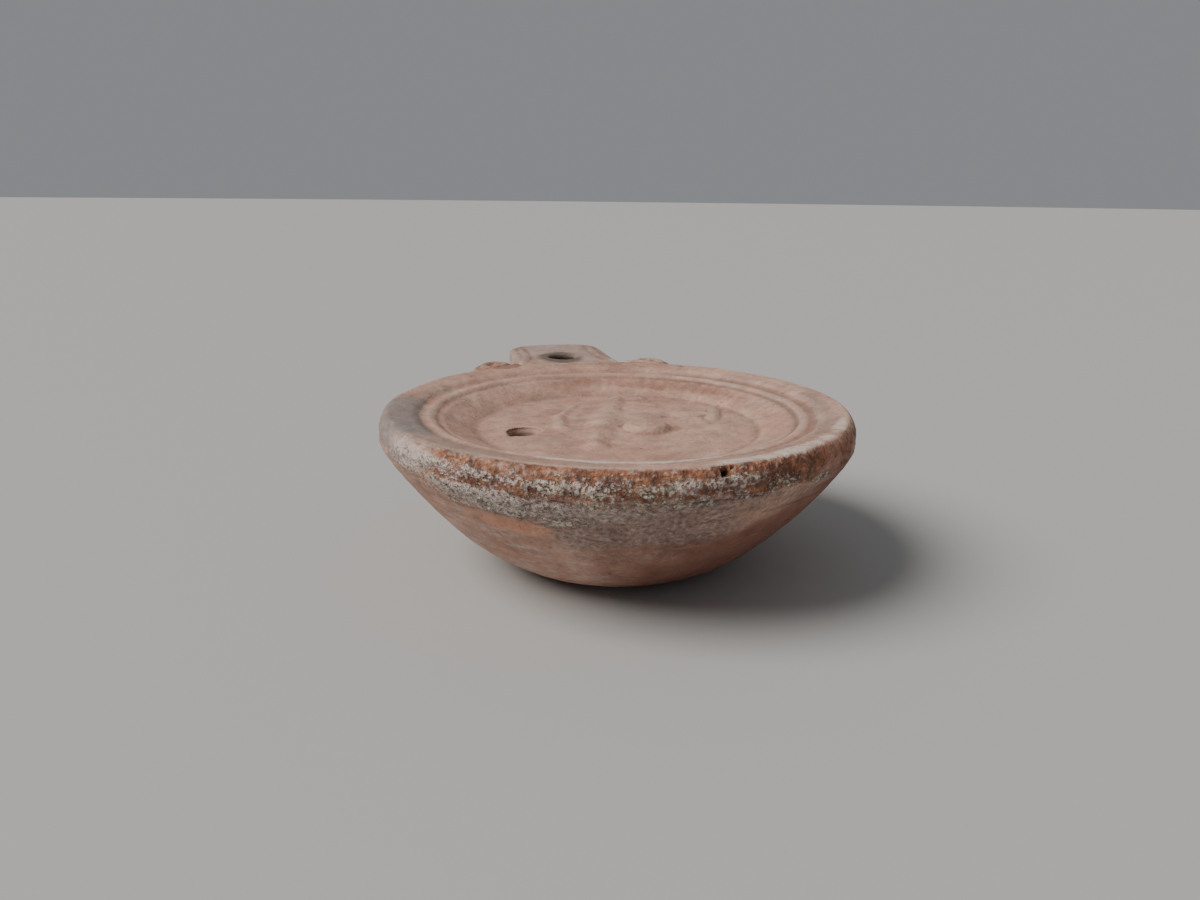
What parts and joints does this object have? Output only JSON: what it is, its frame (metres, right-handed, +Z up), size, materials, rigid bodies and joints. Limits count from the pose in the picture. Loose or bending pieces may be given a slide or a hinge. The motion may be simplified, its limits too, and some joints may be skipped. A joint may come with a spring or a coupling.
{
  "type": "oil lamp",
  "caption": "Round mould-made terracotta oil lamp with a sunken picture disc, a filling hole and a volute nozzle with a wick hole.",
  "frame": {"origin": "centre of the flat base, on the surface that the lamp stands on", "axes": "+Z up, +Y from the base's centre towards the nozzle's tip, +X to the right"},
  "size_m": [0.076, 0.1025, 0.0257],
  "materials": {
    "terracotta": "matte unglazed fired clay, pinkish buff, worn, with pale lime crust on the sides and soot at the wick hole"
  },
  "bodies": {
    "root": {"lamp_body": "terracotta"}
  },
  "joints": []
}
